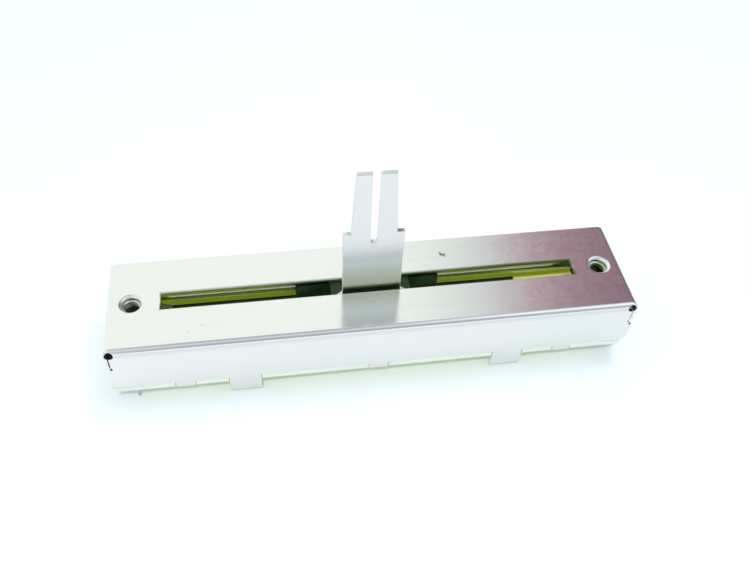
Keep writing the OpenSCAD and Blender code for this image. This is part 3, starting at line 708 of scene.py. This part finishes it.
def isCoverEdge(edge):
    # Every longer edge outside the slot's zone and away from the corner reliefs
    place = middleOf(edge)
    isCorner = (abs(place.x) > coverHigh[0] - coverShape["cornerZone"]
                and abs(place.y) > coverHigh[1] - coverShape["cornerZone"])
    isOutside = abs(place.y) > slotZone["y"] + coverShape["slotMargin"]
    return edge.calc_length() > coverShape["shortest"] and isOutside and not isCorner


def cutFaces(solid, faces, place, along):
    edges = {edge for face in faces for edge in face.edges}
    points = {vertex for face in faces for vertex in face.verts}
    bmesh.ops.bisect_plane(solid, geom=list(points) + list(edges) + list(faces), plane_co=place,
                           plane_no=along, dist=1e-7)


def isRearCorner(x, y, z):
    return ((abs(x) > cornerX - 0.001 * mm) & (y > cornerY - 0.001 * mm)
            & (z > topZ - coverShape["cornerDepth"] - 0.01 * mm))


def turnCorners(places):
    # The two folds run round each rear corner: an offset (dx, dy) from its middle is scaled by
    # max(dx, dy) / hypot(dx, dy), fully near the top and not at all at the corner's depth
    x, y, z = places.T
    outX, outY = np.maximum(abs(x) - cornerX, 0), np.maximum(y - cornerY, 0)
    length = np.hypot(outX, outY)
    turned = isRearCorner(x, y, z) & (length > 1e-7)
    share = np.clip((z - topZ + coverShape["cornerDepth"]) / coverShape["cornerBlend"], 0, 1)
    scale = 1 + share * (np.maximum(outX, outY) / np.where(turned, length, 1) - 1)
    newPlaces = np.stack([np.sign(x) * (cornerX + outX * scale), cornerY + outY * scale, z], -1)
    return np.where(turned[:, None], newPlaces, places)


def roundRearCorners(solid):
    # Rows of points keep the corners' shading to themselves, and more of them, fanned about the
    # middle of each rear corner, carry its rounding
    for side in (-1, 1):
        cutFaces(solid, solid.faces[:], (side * cornerX, 0, 0), (1, 0, 0))
        cutFaces(solid, solid.faces[:], (0, side * cornerY, 0), (0, 1, 0))
    for side in (-1, 1):
        for turn in coverShape["cornerCuts"]:
            faces = [face for face in solid.faces
                     if all(isRearCorner(*vertex.co) and side * vertex.co.x > 0 for vertex in face.verts)]
            along = (side * math.sin(math.radians(turn)), -math.cos(math.radians(turn)), 0)
            cutFaces(solid, faces, (side * cornerX, cornerY, 0), along)
    movePoints(solid, turnCorners)


coverRounds = [(coverShape["roll"], coverShape["rollSteps"], isSlotRim),
               (coverShape["edge"], coverShape["edgeSteps"], isCoverEdge)]
softCopy("cover", "coverShell", "case", coverRounds, shape=narrowSlot, finish=roundRearCorners)

edgeRounds = {"lever": (0.09 * mm, 3, anyEdge), "carriage": (0.15 * mm, 3, anyEdge),
              "pin": (0.03 * mm, 2, anyEdge)}
softCopy("lever", "leverBlade", "slider", [edgeRounds["lever"]])
softCopy("carriage", "carriageBody", "slider", [edgeRounds["carriage"]])
for nodeName in pinNames:
    first, *others = nodeName.split("_")[:-1]
    softCopy(nodeName, first + "".join(word.title() for word in others) + "Pin", "case",
             [edgeRounds["pin"]])
print("pieces made")

cameraLook = {"azimuth": 10.97, "elevation": 48.76, "roll": 3.48, "lens": 38.53,
              "sensor": 36.0, "distance": 135.925 * mm, "right": -0.340 * mm,
              "up": -0.341 * mm, "clip": (0.005, 20.0)}


def placeCamera(look):
    # The camera looks along the direction of its two angles, rolled about it, at the cover's top
    azimuth, elevation, roll = (math.radians(look[k]) for k in ("azimuth", "elevation", "roll"))
    forward = np.array([math.sin(azimuth) * math.cos(elevation),
                        math.cos(azimuth) * math.cos(elevation), -math.sin(elevation)])
    level = np.array([math.cos(azimuth), -math.sin(azimuth), 0.0])
    rise = np.cross(level, forward)
    right = math.cos(roll) * level + math.sin(roll) * rise
    up = -math.sin(roll) * level + math.cos(roll) * rise
    target = np.array([(coverLow[0] + coverHigh[0]) / 2, (coverLow[1] + coverHigh[1]) / 2, topZ])
    place = target - look["right"] * right - look["up"] * up - look["distance"] * forward
    data = bpy.data.cameras.new("mainCamera")
    data.lens = look["lens"]
    data.sensor_width = look["sensor"]
    data.clip_start, data.clip_end = look["clip"]
    camera = bpy.data.objects.new("mainCamera", data)
    matrix = np.eye(4)
    matrix[:3, 0], matrix[:3, 1], matrix[:3, 2], matrix[:3, 3] = right, up, -forward, place
    camera.matrix_world = Matrix(matrix.tolist())
    bpy.context.scene.collection.objects.link(camera)
    bpy.context.scene.camera = camera


placeCamera(cameraLook)

floorLook = {"reach": 3.0, "color": (0.80, 0.88, 0.955), "glow": 0.25,
             "glowColor": (0.985, 1.0, 1.0), "sideColor": (0.90, 0.985, 0.985),
             "sideFrom": (12 * mm, 45 * mm)}


def makeFloor(look):
    # A wide plane under the pins. It glows a little for the camera and for reflections
    mesh = bpy.data.meshes.new("floor")
    corners = [(x * look["reach"], y * look["reach"], cadBox[0][2])
               for x, y in ((-1, -1), (1, -1), (1, 1), (-1, 1))]
    mesh.from_pydata(corners, [], [(0, 1, 2, 3)])
    floor = bpy.data.objects.new("floor", mesh)
    bpy.context.scene.collection.objects.link(floor)
    material = bpy.data.materials.new("floor")
    material.use_nodes = True
    tree = material.node_tree
    tree.nodes.clear()
    output = addNode(tree, "OutputMaterial")
    matt = addNode(tree, "BsdfDiffuse", {"Color": rgba(look["color"])})
    across = split(tree, addNode(tree, "TexCoord").outputs["Object"])[0]
    tone = mixColors(tree, mapRange(tree, across, *look["sideFrom"], smooth=True),
                     rgba(look["glowColor"]), rgba(look["sideColor"]))
    glow = addNode(tree, "Emission", {"Color": tone, "Strength": 1.0})
    path = addNode(tree, "LightPath").outputs
    seen = mathNode(tree, "MAXIMUM", path["Is Camera Ray"],
                    mathNode(tree, "MAXIMUM", path["Is Glossy Ray"], path["Is Transmission Ray"]))
    share = times(tree, seen, look["glow"])
    mixed = addNode(tree, "MixShader", {0: share, 1: matt.outputs[0], 2: glow.outputs[0]})
    tree.links.new(mixed.outputs[0], output.inputs[0])
    mesh.materials.append(material)


makeFloor(floorLook)

# Colours by how far a direction leans to the right, for what the cover's top mirrors, and
# greys by its pitch: 0 at the back, 90 straight up, 180 at the front
worldLook = {
    "lean": [(0.00, (0.965, 1.0, 0.955)), (0.155, (0.96, 1.0, 0.955)), (0.18, (0.86, 0.93, 0.89)),
             (0.24, (0.74, 0.82, 0.785)), (0.27, (0.63, 0.635, 0.655)), (0.30, (0.53, 0.42, 0.475)),
             (0.335, (0.40, 0.26, 0.30)), (0.385, (0.285, 0.18, 0.215)), (0.45, (0.22, 0.15, 0.19))],
    "left": [(60, 1.0), (70, 0.43), (84, 0.43), (104, 0.62), (115, 0.80), (128, 0.60),
             (150, 0.47), (180, 0.45)],
    "right": [(58, 0.5), (74, 0.52), (86, 0.80), (98, 1.12), (112, 1.15), (128, 0.70), (148, 0.50),
              (180, 0.44)],
    "rightFrom": (0.12, 0.32), "tint": (0.95, 1.0, 1.09),
    "farLeft": (0.86, 0.91, 0.92), "farLeftFrom": (-0.14, -0.34),
    "speckle": 0.22, "speckleScale": 30.0, "speckleFrom": (0.2, 0.34), "behindTo": (60, 66)}


def makeWorld(look):
    # A studio painted by direction: what stands behind the object, then ceiling and near side
    world = bpy.data.worlds.new("studio")
    bpy.context.scene.world = world
    world.use_nodes = True
    tree = world.node_tree
    background = tree.nodes["Background"]
    direction = addNode(tree, "TexCoord").outputs["Generated"]
    x, y, z = split(tree, direction)
    pitch = times(tree, mathNode(tree, "ARCTAN2", z, y), 1 / math.pi)
    behind = colorRamp(tree, x, look["lean"])
    patch = addNode(tree, "TexNoise", {"Vector": direction, "Scale": look["speckleScale"],
                                       "Detail": 4.0})
    mottle = mapRange(tree, patch.outputs[0], 0.3, 0.7, 1 - look["speckle"], 1 + look["speckle"])
    mottled = addNode(tree, "VectorMath", {0: behind, 1: mottle}, operation="MULTIPLY").outputs[0]
    behind = mixColors(tree, mapRange(tree, x, *look["speckleFrom"]), behind, mottled)
    left, right = ([(angle / 180, tuple(grey * tint for tint in look["tint"]))
                    for angle, grey in look[side]] for side in ("left", "right"))
    above = mixColors(tree, mapRange(tree, x, *look["rightFrom"], smooth=True),
                      colorRamp(tree, pitch, left), colorRamp(tree, pitch, right))
    above = mixColors(tree, mapRange(tree, x, *look["farLeftFrom"], smooth=True), above,
                      rgba(look["farLeft"]))
    low, high = (angle / 180 for angle in look["behindTo"])
    color = mixColors(tree, mapRange(tree, pitch, low, high, smooth=True), behind, above)
    tree.links.new(color, background.inputs["Color"])
    background.inputs["Strength"].default_value = 1.0


makeWorld(worldLook)

lampLook = {"key": {"place": (0.12, 0.08, 0.40), "size": 0.16, "power": 0.5,
                    "color": (1.0, 0.99, 0.97)},
            "fill": {"place": (-0.045, -0.183, 0.325), "size": 0.025, "power": 0.58,
                     "color": (1.0, 1.0, 0.97)}}


def makeLamp(name, look):
    # A round lamp aimed at the middle of the cover's top. The metal doesn't mirror it
    data = bpy.data.lights.new(name, "AREA")
    data.shape = "DISK"
    data.size = look["size"]
    data.energy = look["power"]
    data.color = look["color"]
    lamp = bpy.data.objects.new(name, data)
    lamp.visible_glossy = False
    place = Vector(look["place"])
    aim = Vector((0, 0, topZ)) - place
    lamp.matrix_world = Matrix.LocRotScale(place, aim.to_track_quat("-Z", "Y"), None)
    bpy.context.scene.collection.objects.link(lamp)


for lampName, lampValues in lampLook.items():
    makeLamp(lampName, lampValues)
bpy.context.scene.view_settings.view_transform = "Standard"
print("floor, world, lamps and camera set")
